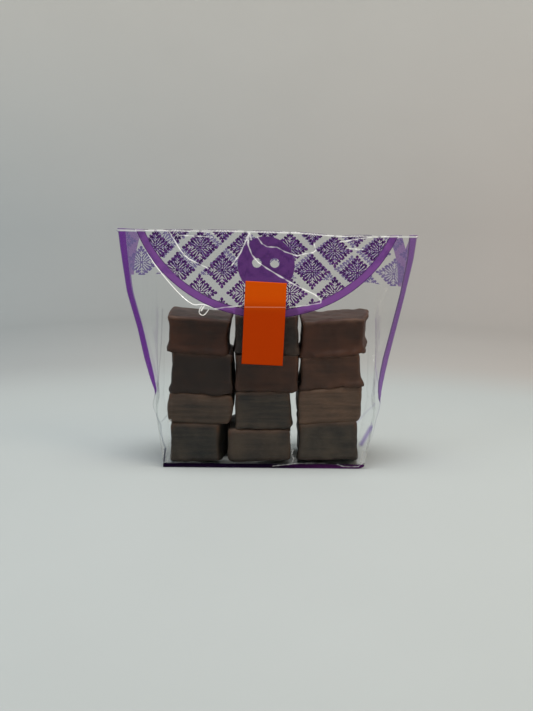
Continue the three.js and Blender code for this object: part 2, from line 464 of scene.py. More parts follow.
def makeFilm(name, printOf=None, ink=None):
    material, tree = newMaterial(name)
    sheet = addNode(tree, "Attribute", {"attribute_name": "sheet"}, out="Vector")
    across, along, crease = addNode(tree, "SeparateXYZ", {}, {0: sheet}).node.outputs
    spot = addNode(tree, "CombineXYZ", {}, {0: across, 1: along})
    place = addNode(tree, "TexCoord", {}, out="Object")
    body = addNode(tree, "BsdfTransparent", {"Color": toLinear(film["clear"])})
    whiteningAndHighlight = addNode(tree, "MapRange", {(1, 2): film["whiteLineRise"], 4: film["whiteLineShare"]}, {0: crease})
    if printOf:
        shape, deep = printOf(tree, spot)
        shades = []
        for key in ("tint", "body"):
            mix = {**colourMix, 6: toLinear(ink[key][0]), 7: toLinear(ink[key][1])}
            shades.append(addNode(tree, "Mix", mix, {0: deep}, 2))
        dye = addNode(tree, "BsdfTransparent", {}, {"Color": shades[0]})
        solid = addNode(tree, "BsdfDiffuse", {}, {"Color": shades[1]})
        printed = addNode(tree, "MixShader", {0: ink["share"]}, {1: dye, 2: solid})
        body = addNode(tree, "MixShader", {}, {0: shape, 1: body, 2: printed})
        veil = addNode(tree, "MapRange", {(3, 4): (1.0, ink["veil"])}, {0: shape})
        whiteningAndHighlight = addNode(tree, "Math", times, {0: whiteningAndHighlight, 1: veil})
        # a faint painted white sheen over the bare film between the print, standing in for reflection
        cloud = addNode(tree, "MapRange", {(3, 4): (ink["paintedSheen"], 0.0)}, {0: shape})
        whiteningAndHighlight = addNode(tree, "Math", larger, {0: whiteningAndHighlight, 1: cloud})
    else:
        # painted shade: below zero a crease tints the clear film grey, purple towards the right
        fold = addNode(tree, "MapRange", {(1, 2): film["foldRise"], 4: film["paintedShadeShare"]}, {0: crease})
        purpleShadeShare = addNode(tree, "MapRange", {(1, 2): film["paintedPurpleShadeReach"]}, {0: across})
        mix = {**colourMix, 6: toLinear(film["fold"]), 7: toLinear(film["paintedPurpleShade"])}
        shaded = addNode(tree, "BsdfTransparent", {}, {"Color": addNode(tree, "Mix", mix, {0: purpleShadeShare}, 2)})
        body = addNode(tree, "MixShader", {}, {0: fold, 1: body, 2: shaded})
        # painted white sheen in streaks on the slack sides, and low down at the front corners
        drawn = addNode(tree, "Mapping", {"Scale": film["paintedSheenStreak"]}, {"Vector": spot})
        streak = addNode(tree, "TexNoise", {"Scale": 1.0, "Detail": 2.0}, {"Vector": drawn})
        side = addNode(tree, "Math", {"operation": "ABSOLUTE"}, {0: across})
        reach = addNode(tree, "MapRange", {(1, 2): film["paintedSheenReach"], 4: film["paintedSheen"]}, {0: side})
        paintedSheen = addNode(tree, "MapRange", {(1, 2): film["paintedSheenRise"]}, {0: streak})
        paintedSheen = addNode(tree, "Math", times, {0: paintedSheen, 1: reach})
        low = addNode(tree, "MapRange", {(1, 2): film["lowPaintedSheenUp"], 4: film["lowPaintedSheen"]}, {0: along})
        outer = addNode(tree, "MapRange", {(1, 2): film["lowPaintedSheenReach"]}, {0: side})
        depth = addNode(tree, "SeparateXYZ", {}, {0: place}, 1)
        near, far = (v * mm for v in film["lowPaintedSheenDepth"])
        forward = addNode(tree, "MapRange", {(1, 2): (near, far), (3, 4): (1.0, 0.0)}, {0: depth})
        for reach in (outer, forward):
            low = addNode(tree, "Math", times, {0: low, 1: reach})
        paintedSheen = addNode(tree, "Math", larger, {0: paintedSheen, 1: low})
        paintedSheen = addNode(tree, "Math", cutAway, {0: paintedSheen, 1: fold})
        whiteningAndHighlight = addNode(tree, "Math", larger, {0: whiteningAndHighlight, 1: paintedSheen})
    # the white lines and the painted sheen are a white diffuse, partly stress whitening and partly
    # painted highlight
    white = addNode(tree, "BsdfDiffuse", {"Color": toLinear(film["whiteningAndHighlight"])})
    body = addNode(tree, "MixShader", {}, {0: whiteningAndHighlight, 1: body, 2: white})
    waves = addNode(tree, "TexNoise", {"Scale": 1000 / film["crumple"], "Detail": 2.0}, {"Vector": place})
    bump = addNode(tree, "Bump", {("Strength", "Distance"): film["crumpleBump"]}, {"Height": waves})
    gloss = addNode(tree, "BsdfGlossy", {"Roughness": film["roughness"]}, {"Normal": bump})
    facing = addNode(tree, "LayerWeight", {"Blend": 0.5}, out="Facing")
    rim = addNode(tree, "Math", {"operation": "POWER", 1: film["rimPower"]}, {0: facing})
    share = addNode(tree, "MapRange", {(3, 4): film["reflect"]}, {0: rim})
    glint = {"operation": "MULTIPLY_ADD", 1: film["creaseGlint"]}
    share = addNode(tree, "Math", glint, {0: whiteningAndHighlight, 2: share})
    mixed = addNode(tree, "MixShader", {}, {0: share, 1: body, 2: gloss})
    addNode(tree, "OutputMaterial", {}, {"Surface": mixed})
    return material


clearFilm = makeFilm("clear_polypropylene_film")
backFilm = makeFilm("printed_back_film", backPrint, inks["back"])
flapFilm = makeFilm("printed_flap_film", flapPrint, inks["flap"])
seamFilm = makeFilm("printed_seam_film", seamPrint, inks["seam"])
baseFilm = makeFilm("printed_base_film", basePrint, inks["base"])
print("film materials made")


# The bag: one sheet wrapped round the bag's sections, with a sealed fin down each side, closed along
# the top and the base.
bagSheet = {
    "frontColumns": 220,
    "backColumns": 90,
    "sideColumns": 30,
    "finColumns": 4,
    "rows": 190,
    "rowCrowding": 0.55,
    "merge": 0.02,
    "finWidths": [
        (31.7, 0.0), (34.5, 1.2), (38.3, 2.0), (43.0, 2.7), (50.0, 3.1),
        (58.0, 3.3), (95.0, 3.0), (117.0, 3.8), (125.0, 4.2),
    ],
    "finSlant": 1.8,
    "finGap": 0.12,
    "sideSag": 2.0,
    # a painted shade line runs down each side below its seam: width, height (below zero, so it only
    # shades), then how it fades at the base and low on the right
    "sideShadeLine": (0.9, -0.9),
    "sideShadeRise": 1.5,
    "rightFade": [(15.0, 0.3), (24.0, 1.0)],
    "baseShift": -1.1,
    "cornerLift": 1.6,
    "cornerReach": (51.0, 54.5),
    # the left seam has a kink, and the right side stands out low down: height, then how far
    "leftShift": [(72, 0), (92, -1.2), (112, 0)],
    "rightShift": [
        (0, 1.0), (5, 2.0), (12, 2.1), (20, 1.8), (28, 0.9),
        (35, 2.7), (38, 2.2), (42, 1.3), (48, 0.6), (56, 0),
    ],
    "backStretch": (1.046, 1.08),
    # the white line beside the flap, partly stress whitening and partly painted highlight: how far below
    # the top, its width, how far it runs under the flap
    "foldLine": (0.85, 0.45, 4.0),
    "foldNub": 1.2,
    "tuck": 0.5,
    "tuckFade": 2.0,
    # how slack each run of the sheet is, from the left seam round the front and then the back,
    # and how far from the base, the top and the seams the slack fades
    "slack": [0, 1, 0.15, 1, 0, 0, 1, 0.7, 1, 0],
    "slackFade": (6.0, 10.0, 3.0),
    # height of the crease ridges, then size and height of the folds and shards of slack film
    "ridge": 0.6,
    "folds": (18.0, 1.0),
    "shards": (14.0, 0.3),
    # creases of the front, in millimetres across and up: points, width, height of the ridge; above zero
    # each also paints a white line, partly stress whitening and partly painted highlight, and below zero
    # only a painted shade line
    "creases": [
        ([(-54.4, 86), (-55.1, 70), (-55.7, 62), (-56.5, 54), (-57.2, 45)], 0.42, -0.5),
        ([(-58.6, 30), (-57.2, 26.6), (-55.6, 23.6), (-55.5, 18.6), (-54.5, 15), (-53.2, 10.8)],
         0.42, -0.65),
        ([(-53.2, 10.6), (-53.9, 2.4)], 0.45, -1.3),
        ([(-52.1, 29.3), (-55.3, 25.5)], 0.45, -0.5),
        ([(-51.6, 25.5), (-50.4, 26.5)], 0.6, 0.8),
        ([(-51.8, 8.5), (-53.2, 3.4)], 0.45, -0.45),
        ([(57, 82), (57.6, 73.3), (58.2, 65), (58.9, 58.4), (59.7, 50.8), (61, 44), (62.2, 40)],
         0.5, -0.5),
        ([(60.6, 74), (60.9, 65)], 0.4, -0.4),
        ([(64, 97), (59.8, 89), (59, 84)], 1.3, 0.36),
        ([(56.4, 63), (56.7, 59.5)], 0.45, 1.0),
        ([(59.0, 36.8), (57.2, 35.2), (54.6, 32.8), (51.5, 29.2), (48.6, 25.4)], 0.8, -0.34),
        ([(56.4, 23.0), (51.9, 13.9)], 1.5, -0.85),
        ([(13.3, 21), (14.3, 18), (13.6, 15.5), (14.8, 12.5), (14.3, 10)], 0.5, 0.55),
        ([(15.4, 10.5), (14.6, 7.5), (16, 5.5), (15.4, 3.6)], 0.55, 0.6),
        ([(5, 1.0), (12, 1.9), (17, 2.5)], 0.36, 0.9),
        ([(17, 2.5), (24, 2.9), (33, 2.8)], 0.3, 0.5),
        ([(39.6, 2.3), (43, 1.1), (47.7, 1.0), (51.1, 1.1), (52.8, 2.6)], 0.32, 1.0),
    ],
}


# the runs of the sheet, from the left seam round the front and then the back
bagRuns = ["fin", "side", "front", "side", "fin", "fin", "side", "back", "side", "fin"]
bagColumns = [bagSheet[kind + "Columns"] for kind in bagRuns]
frontFins, frontRuns, backRuns, allFins = (0, 4), (1, 2, 3), (6, 7, 8), (0, 4, 5, 9)  # places in bagRuns


# the right seam runs a little lower than the left one
def finWidth(z, side):
    table = np.array(bagSheet["finWidths"])
    return np.interp(z + side * bagSheet["finSlant"], table[:, 0], table[:, 1])


# wraps the sheet round the bag's sections: the run of each point, and its place across and in depth
def wrapBag(flat, level, z):
    ends = np.cumsum([0] + bagColumns)
    column = np.round((flat[:, 0] + 1) / 2 * ends[-1])
    run = np.clip(np.searchsorted(ends, column, side="right") - 1, 0, len(bagRuns) - 1)
    seam, corner, front, back, middle = sectionAt(z)
    leftRoot, rightRoot = finWidth(z, -1) - seam, seam - finWidth(z, 1)
    leftGap, rightGap = (bagSheet["finGap"] * np.clip(finWidth(z, side), 0, 1) for side in (-1, 1))
    turns = [
        (-seam, middle), (leftRoot, middle - leftGap), (-corner, front),
        (corner, front), (rightRoot, middle - rightGap), (seam, middle),
        (rightRoot, middle + rightGap), (corner, back),
        (-corner, back), (leftRoot, middle + leftGap), (-seam, middle),
    ]
    x, y = np.zeros_like(z), np.zeros_like(z)
    for i, kind in enumerate(bagRuns):
        here = run == i
        share = (column - ends[i]) / bagColumns[i]
        (x0, y0), (x1, y1) = turns[i], turns[i + 1]
        dx, dy = x1 - x0, y1 - y0
        px, py = x0 + dx * share, y0 + dy * share
        if kind == "side":  # slack sides draw in between the contents and the seam
            sag = bagSheet["sideSag"] * np.sin(np.pi * share) * np.sin(np.pi * np.clip(level, 0, 1))
            sag /= np.hypot(dx, dy)
            px, py = px - dy * sag, py + dx * sag
        elif kind == "front":
            py = frontDepth(px, z)
        x[here], y[here] = px[here], py[here]
    y[level > 1 - 0.5 / bagSheet["rows"]] = foldDepth
    return run, x, y


# front, back, seams and base each have their own print
def inkBag(piece, run, z):
    for material in (clearFilm, backFilm, seamFilm, baseFilm):
        piece.data.materials.append(material)
    for face in piece.data.polygons:
        spots = face.vertices
        kind = run[spots[0]] if run[spots[0]] == run[spots[1]] else min(run[i] for i in spots)
        low = max(z[i] for i in spots) < inkPrint["hem"] + 1
        if kind in frontFins:
            face.material_index = 2
        elif kind in frontRuns:
            face.material_index = 3 if low else 0
        elif kind in backRuns:
            face.material_index = 1


# closes the side seam and the top fold, then the base with one clear face
def closeBag(piece):
    bpy.ops.object.mode_set(mode="EDIT")
    bpy.ops.mesh.select_all(action="SELECT")
    bpy.ops.mesh.remove_doubles(threshold=bagSheet["merge"] * mm)
    bpy.ops.mesh.select_mode(type="EDGE")
    bpy.ops.mesh.select_all(action="DESELECT")
    bpy.ops.mesh.select_non_manifold()
    bpy.ops.mesh.edge_face_add()
    bpy.ops.mesh.select_all(action="SELECT")
    bpy.ops.mesh.normals_make_consistent(inside=False)
    bpy.ops.object.mode_set(mode="OBJECT")
    bpy.ops.object.shade_smooth()
    for face in piece.data.polygons:
        if len(face.vertices) > 4:
            face.material_index = 0


# creases stand up as fine ridges, and the slack sides crumple
def crumpleBag(piece):
    x, _, z = (readVertices(piece) / mm).T
    crease = readVectors(piece, "sheet")[:, 2]
    run = readVectors(piece, "run")[:, 0]
    fillGroup(piece, "crease", np.where(z < shoulder, crease, 0))
    slack = np.choose(np.round(run).astype(int), bagSheet["slack"]).astype(float)
    fromBase, fromTop, fromSeam = bagSheet["slackFade"]
    slack *= np.clip(z / fromBase, 0, 1) * np.clip((bagTop - z) / fromTop, 0, 1)
    root = sectionAt(z)[0] - finWidth(z, np.sign(x))
    slack *= np.clip((root - np.abs(x)) / fromSeam, 0, 1)
    fillGroup(piece, "slack", slack)
    foldSize, foldHeight = bagSheet["folds"]
    shardSize, shardHeight = bagSheet["shards"]
    shards = bpy.data.textures.new("film_shards", "VORONOI")
    shards.noise_scale = shardSize * mm
    shards.weight_1 = -1.0
    shards.weight_2 = 1.0
    addDisplace(piece, "ridges", bagSheet["ridge"], "crease")
    addDisplace(piece, "folds", foldHeight, "slack", newClouds("film_folds", foldSize))
    addDisplace(piece, "shards", shardHeight, "slack", shards)
    applyModifiers(piece)
    piece.data.attributes.remove(piece.data.attributes["run"])


def makeBag():
    piece, flat = addGrid("bag_film", sum(bagColumns), bagSheet["rows"])
    level = (flat[:, 1] + 1) / 2
    z = bagTop * (level - bagSheet["rowCrowding"] * np.sin(2 * np.pi * level) / (2 * np.pi))
    run, x, y = wrapBag(flat, level, z)
    isFront = run <= max(frontFins)
    seam, corner, _, _, middle = sectionAt(z)
    fin = finWidth(z, np.where(x < 0, -1, 1))
    root = seam - fin

    # creases of the front with their white lines, a painted shade line down each side, and a white line
    # beside the flap, partly painted highlight
    crease = np.where(isFront, creaseHeight(bagSheet["creases"], x, z), 0)
    foldWidth, foldHeight = bagSheet["sideShadeLine"]
    sideShadeLine = np.exp(-(np.hypot(seam - np.abs(x), y - middle) / foldWidth) ** 2)
    sideShadeLine *= np.clip(1 - fin, 0, 1) * np.clip(z / bagSheet["sideShadeRise"], 0, 1)
    sideShadeLine *= np.where(x < 0, 1, np.interp(z, *np.transpose(bagSheet["rightFade"])))
    crease = np.where(sideShadeLine > 0.1, foldHeight * sideShadeLine, crease)
    lineDrop, lineWidth, lineUnder = bagSheet["foldLine"]
    foldLine = np.exp(-((bagTop - z - lineDrop) / lineWidth) ** 2)
    foldLine *= np.abs(x) > flapSheet["halfWidth"] - lineUnder
    crease = np.where(foldLine > 0.05, np.maximum(crease, foldLine), crease)

    # the top is tucked under the flap, the seams wander, and the right front corner is lifted
    underFlap = np.clip((flapSheet["halfWidth"] - np.abs(x)) / bagSheet["tuckFade"], 0, 1)
    height = z + foldRise(x, z) + bagForm["floorGap"] * (1 - level) - bagSheet["tuck"] * level * underFlap
    toCorner = np.interp(x, bagSheet["cornerReach"], (0, 1))
    height += bagSheet["cornerLift"] * toCorner ** 2 * (1 - level) ** 40
    toSeam = np.clip((np.abs(x) - corner) / np.maximum(root - corner, 0.5), 0, 1)
    shifts = [np.interp(z, *np.transpose(bagSheet[key])) for key in ("leftShift", "rightShift")]
    shift = bagSheet["baseShift"] * (1 - level) ** 3 + toSeam * np.where(x < 0, *shifts)
    nub = bagSheet["foldNub"] * foldLine * np.clip(np.abs(x) - seam + 1, 0, 1)
    writeVertices(piece, toMetres(x + shift + nub * np.sign(x), y, height))

    # sheet places: across and up on the front, from the fold on the back, from the root on a seam
    stretchX, stretchZ = bagSheet["backStretch"]
    across = np.where(isFront, x, x * stretchX)
    along = np.where(isFront, z, (z - bagTop) * stretchZ + inkPrint["backTilt"] * x)
    along = np.where(np.isin(run, allFins), np.abs(x) - root, along)
    addVectors(piece, "sheet", (across, along, crease))
    addVectors(piece, "run", (run, level, np.zeros_like(z)))
    inkBag(piece, run, z)
    closeBag(piece)
    crumpleBag(piece)
    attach(piece, "root")
    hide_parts("bag")
    print("bag film", len(piece.data.polygons), "faces")


# The flap: the back sheet folded over the top and down the front, with a round free edge.
flapSheet = {
    "columns": 480,
    "rows": 190,
    "reachBack": 1.6,
    "backSlope": 0.3,
    "halfWidth": 69.8,
    "lift": 0.5,
    "foldRadius": 0.7,
    "edgeRadius": 75.4,
    # the free edge swings out on the left: how far, where across, and its reach to the left and right
    "edgeBulge": 3.0,
    "bulgePlace": -39.0,
    "bulgeReach": (12.0, 4.5),
    # and curls there, with a white line, partly painted highlight, from this far to the left and along,
    # and elsewhere a little
    "freeLeft": (24.0, 32.0),
    "freeAlong": (9.0, 16.0),
    "edgeCurl": 0.5,
    "curlReach": 1.5,
    "leastCurl": 0.1,
    "edgeLine": 0.45,
    "leastWhite": 0.15,
    # the white line along the fold, partly painted highlight: how far down, width
    "foldLine": (1.1, 0.55),
    # height and spread of the crease ridges, then size and height of the waves between them,
    # and how far from the fold and the edge those fade
    "ridge": 0.45,
    "ridgeSpread": 3.5,
    "waves": (18.0, 0.3),
    "wavesFade": (5.0, 6.0),
    # creases in millimetres across and along from the fold: points, width, height of the ridge
    "creases": [
        ([(-52.5, 0.6), (-45.9, 10.9), (-43.8, 13.6), (-41.1, 15.8), (-31, 20.6)], 0.44, 1.0),
        ([(-9.8, 1.6), (-11.3, 5.9), (-14.4, 13), (-18.5, 18.9)], 0.49, 1.0),
        ([(-9.8, 0.8), (-9.9, 3.0), (-10.6, 5.6)], 0.98, 1.0),
        ([(-9.6, 1.0), (-8.6, 5.2)], 0.67, 0.9),
        ([(-9.8, 3.2), (-10.2, 8.1), (-8.1, 13.4), (-4.9, 17.1), (-0.1, 20.3)], 0.49, 1.0),
        ([(-0.1, 20.3), (9.3, 25.9), (17.2, 30), (25, 33.5), (28.2, 36.5)], 0.51, 1.1),
        ([(28.2, 36.5), (28.0, 38.0), (19.8, 39.5), (12, 40.5)], 0.44, 0.9),
        ([(-12.5, 40), (-21.8, 40.9), (-28.6, 42), (-32.3, 42.8)], 0.46, 0.9),
        ([(-5.5, 3.7), (-2.9, 7.4), (-0.2, 9), (5, 9.1), (9.2, 11.4)], 0.44, 0.8),
        ([(9.2, 11.4), (15.6, 13.4), (19.7, 12.2), (23.9, 11.3), (25.5, 10.1), (24.5, 6.6)], 0.46, 1.0),
        ([(-45.1, 1.7), (-36.6, 1.2), (-28.2, 2.5)], 0.41, 0.9),
        ([(-46, 3.6), (-38, 3.9), (-29, 4.4)], 0.41, 0.85),
        ([(38.1, 4.5), (48.7, 2.6), (58.1, 1.3)], 0.49, 1.0),
        ([(41.3, 8.1), (50.2, 8.8)], 0.44, 0.9),
    ],
}
label = {
    "columns": 40,
    "rows": 90,
    "width": 21.6,
    "length": 43.2,
    "centre": (-1.4, 49.0),
    "turn": 2.4,
    "lift": 1.35,
    "thickness": 0.12,
    # the flap lies flat under it: half width, from how far along, and how fast that fades
    "coverHalf": 10.0,
    "coverStart": 26.5,
    "coverFade": 2.0,
    # paper below the shoulder and a lighter copy above it, painted light where more light falls on the
    # lean, and the pale line where it bends, partly a crack in the coating and partly painted highlight
    "paper": "#c03d02",
    "leaning": "#c24a02",
    "leanFade": (-4.0, 6.0),
    "bend": "#e6a184",
    "bendWidth": 0.35,
    "bendShare": 0.6,
    "fibre": 0.5,
    "fibreTone": (0.94, 1.04),
    "fibreBump": (0.08, 0.0001),
    "finish": {"Roughness": 0.5, "IOR": 1.48, "Specular IOR Level": 0.03},
}


# a point of the flap sheet: over the rounded fold, down the leaning front, then straight down
def sheetPlace(x, along, lift):
    bend = flapSheet["foldRadius"]
    down = np.sqrt(along ** 2 + bend ** 2) - bend
    lean = (bagTop - shoulder) / leanCos
    z = np.where(down < lean, bagTop - down * leanCos, shoulder - (down - lean))
    over = np.clip(along / (2 * bend) + 0.5, 0, 1)
    over = over * over * (3 - 2 * over)
    front = frontDepth(x, z) - lift
    back = foldDepth + bend + flapSheet["backSlope"] * (bagTop - z)
    return front * over + back * (1 - over), z + foldRise(x, z)


def makeFlap():
    piece, flat = addGrid("flap_film", flapSheet["columns"], flapSheet["rows"])
    x = flat[:, 0] * flapSheet["halfWidth"]
    centreX, centreY, _ = inkPrint["arcCentre"]
    fromBulge = x - flapSheet["bulgePlace"]
    bulge = np.exp(-(fromBulge / np.where(fromBulge < 0, *flapSheet["bulgeReach"])) ** 2)
    radius = flapSheet["edgeRadius"] + flapSheet["edgeBulge"] * bulge
    edge = centreY + np.sqrt(radius ** 2 - (x - centreX) ** 2)
    along = -flapSheet["reachBack"] + (1 - flat[:, 1]) / 2 * (edge + flapSheet["reachBack"])
    fromEdge = radius - np.hypot(x - centreX, along - centreY)
    free = np.interp(-x, flapSheet["freeLeft"], (0, 1)) * np.interp(along, flapSheet["freeAlong"], (0, 1))
    curl = flapSheet["edgeCurl"] * np.clip(1 - fromEdge / flapSheet["curlReach"], 0, 1) ** 2
    curl *= np.maximum(free, flapSheet["leastCurl"])
    y, z = sheetPlace(x, along, flapSheet["lift"] + curl)
    writeVertices(piece, toMetres(x, y, z))
    aside = np.abs(x - label["centre"][0]) - label["coverHalf"]
    uncovered = np.clip(np.maximum(aside, label["coverStart"] - along) / label["coverFade"], 0, 1)
    crease = creaseHeight(flapSheet["creases"], x, along) * uncovered
    # painted highlight, partly edge whitening: white lines along the free edge and along the fold
    whiteEdge = np.exp(-(fromEdge / flapSheet["edgeLine"]) ** 2)
    whiteEdge *= np.maximum(free, flapSheet["leastWhite"])
    lineDrop, lineWidth = flapSheet["foldLine"]
    foldLine = np.exp(-((along - lineDrop) / lineWidth) ** 2)
    addVectors(piece, "sheet", (x, along, np.maximum(crease, np.maximum(whiteEdge, foldLine))))
    faceFront(piece)
    piece.data.materials.append(flapFilm)
    ridges = creaseHeight(flapSheet["creases"], x, along, flapSheet["ridgeSpread"])
    fillGroup(piece, "crease", ridges * uncovered)
    fromFold, toEdge = flapSheet["wavesFade"]
    slack = np.clip(along / fromFold, 0, 1) * uncovered * np.clip((fromEdge - 1) / toEdge, 0.2, 1)
    fillGroup(piece, "slack", slack)
    waveSize, waveHeight = flapSheet["waves"]
    addDisplace(piece, "ridges", flapSheet["ridge"], "crease")
    addDisplace(piece, "waves", waveHeight, "slack", newClouds("flap_waves", waveSize))
    applyModifiers(piece)
    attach(piece, "root")
    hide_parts("bag")
    print("flap film", len(piece.data.polygons), "faces")


# a loose tongue of film curls out from under the flap's free edge
flapTongue = {
    "columns": 36,
    "rows": 44,
    "place": (-31.6, 40.3),
    "length": 5.2,
    "halfWidth": 2.2,
    "turn": 34.0,
    "lift": 0.15,
    "curl": 1.6,
    "fold": 1.3,
    "line": 0.5,
}


def makeTongue():
    piece, flat = addGrid("flap_tongue", flapTongue["columns"], flapTongue["rows"])
    share = (1 - flat[:, 1]) / 2
    halfWidth = flapTongue["halfWidth"] * np.sqrt(np.clip(1 - share ** 5, 0.0004, 1))  # a round tip
    wide, tall = flat[:, 0] * halfWidth, share * flapTongue["length"]
    turn = math.radians(flapTongue["turn"])
    x = flapTongue["place"][0] + wide * math.cos(turn) - tall * math.sin(turn)
    along = flapTongue["place"][1] + wide * math.sin(turn) + tall * math.cos(turn)
    lift = flapSheet["lift"] + flapTongue["lift"] + flapTongue["curl"] * share ** 2
    y, z = sheetPlace(x, along, lift)
    writeVertices(piece, toMetres(x, y, z))
    # painted highlight: white lines along its edge and its fold, each faded over a fifth of its length
    fromEdge = np.minimum(halfWidth - np.abs(wide), flapTongue["length"] * (1 - share))
    edge = np.exp(-(fromEdge / flapTongue["line"]) ** 2) * np.clip(share * 5, 0, 1)
    fold = np.exp(-((wide + flapTongue["halfWidth"] - flapTongue["fold"]) / flapTongue["line"]) ** 2)
    fold *= np.clip((0.8 - share) * 5, 0, 1)
    addVectors(piece, "sheet", (x, along, np.maximum(edge, fold)))
    faceFront(piece)
    piece.data.materials.append(clearFilm)
    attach(piece, "root")
    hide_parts("bag")
    print("tongue", len(piece.data.polygons), "faces")


makeBag()
makeFlap()
makeTongue()


# Coated label paper: a satin orange with a faint fibre, painted lighter above the shoulder where more
# light falls, and a pale line where it bends over the shoulder, partly a crack in the coating and partly
# painted highlight.
def makePaper():
    material, tree = newMaterial("coated_label_paper")
    place = addNode(tree, "TexCoord", {}, out="Object")
    fibre = addNode(tree, "TexNoise", {"Scale": 1000 / label["fibre"], "Detail": 3.0}, {"Vector": place})
    tone = addNode(tree, "MapRange", {(3, 4): label["fibreTone"]}, {0: fibre})
    # painted light: the paper is lighter and more orange above the shoulder
    height = addNode(tree, "SeparateXYZ", {}, {0: place}, 2)
    leanFade = [(shoulder + v) * mm for v in label["leanFade"]]
    above = addNode(tree, "MapRange", {(1, 2): leanFade}, {0: height})
    mix = {**colourMix, 6: toLinear(label["paper"]), 7: toLinear(label["leaning"])}
    shade = addNode(tree, "Mix", mix, {0: above}, 2)
    shade = addNode(tree, "Mix", colourTimes, {6: shade, 7: tone}, 2)
    # a pale line along the bend, partly a crack in the coating and partly painted highlight
    offset = addNode(tree, "Math", {"operation": "SUBTRACT", 1: shoulder * mm}, {0: height})
    away = addNode(tree, "Math", {"operation": "ABSOLUTE"}, {0: offset})
    paleLine = {2: label["bendWidth"] * mm, (3, 4): (label["bendShare"], 0.0)}
    line = addNode(tree, "MapRange", paleLine, {0: away})
    shade = addNode(tree, "Mix", {**colourMix, 7: toLinear(label["bend"])}, {0: line, 6: shade}, 2)
    bump = addNode(tree, "Bump", {("Strength", "Distance"): label["fibreBump"]}, {"Height": fibre})
    skin = addNode(tree, "BsdfPrincipled", label["finish"], {"Base Color": shade, "Normal": bump})
    addNode(tree, "OutputMaterial", {}, {"Surface": skin})
    return material


def makeLabel():
    piece, flat = addGrid("label_paper", label["columns"], label["rows"])
    turn = math.radians(label["turn"])
    wide = flat[:, 0] / 2 * label["width"]
    tall = -flat[:, 1] / 2 * label["length"]
    x = label["centre"][0] + wide * math.cos(turn) - tall * math.sin(turn)
    along = label["centre"][1] + wide * math.sin(turn) + tall * math.cos(turn)
    y, z = sheetPlace(x, along, label["lift"])
    writeVertices(piece, toMetres(x, y, z))
    faceFront(piece)
    thick = piece.modifiers.new("paper", "SOLIDIFY")
    thick.thickness = label["thickness"] * mm
    thick.offset = 1.0
    applyModifiers(piece)
    piece.data.materials.append(makePaper())
    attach(piece, "root")
    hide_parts("label")
    print("label", len(piece.data.polygons), "faces")


makeLabel()


# Dark chocolate over marshmallow: a soft satin brown skin, redder on the top edges, partly where it runs
# thin and partly painted highlight, with a painted pale sheen on the tops and level streaks left by the
# blade and the coating belt.
chocolate = {
    "dark": "#262625",
    "light": "#645547",
    # the red edge colour is partly thin coat and partly painted highlight; the pale top colour is a
    # painted sheen
    "edge": "#623c29",
    "paintedTopSheen": "#82857e",
    "warmth": "#ffac8d",
    # size of the streaks, across, deep and tall, then size and detail of the patches, grain and specks
    "streak": (25.0, 25.0, 1.5),
    "patch": (12.0, 2.0),
    "grain": (5.0, 1.0),
    "speck": (1.1, 2.0),
    # the middle part of a noise is used, and gives these shares of tone
    "noiseSpan": (0.3, 0.7),
    "streakTone": (-0.5, 0.5),
    "speckTone": (0.86, 1.14),
    "patchTone": 0.8,
    "toneSpan": (0.235, 1.235),
    "roughness": (0.5, 0.68),
    "streakRelief": 0.5,
    "bump": (0.1, 0.0005),
    "finish": {"IOR": 1.46, "Specular IOR Level": 0.32},
}


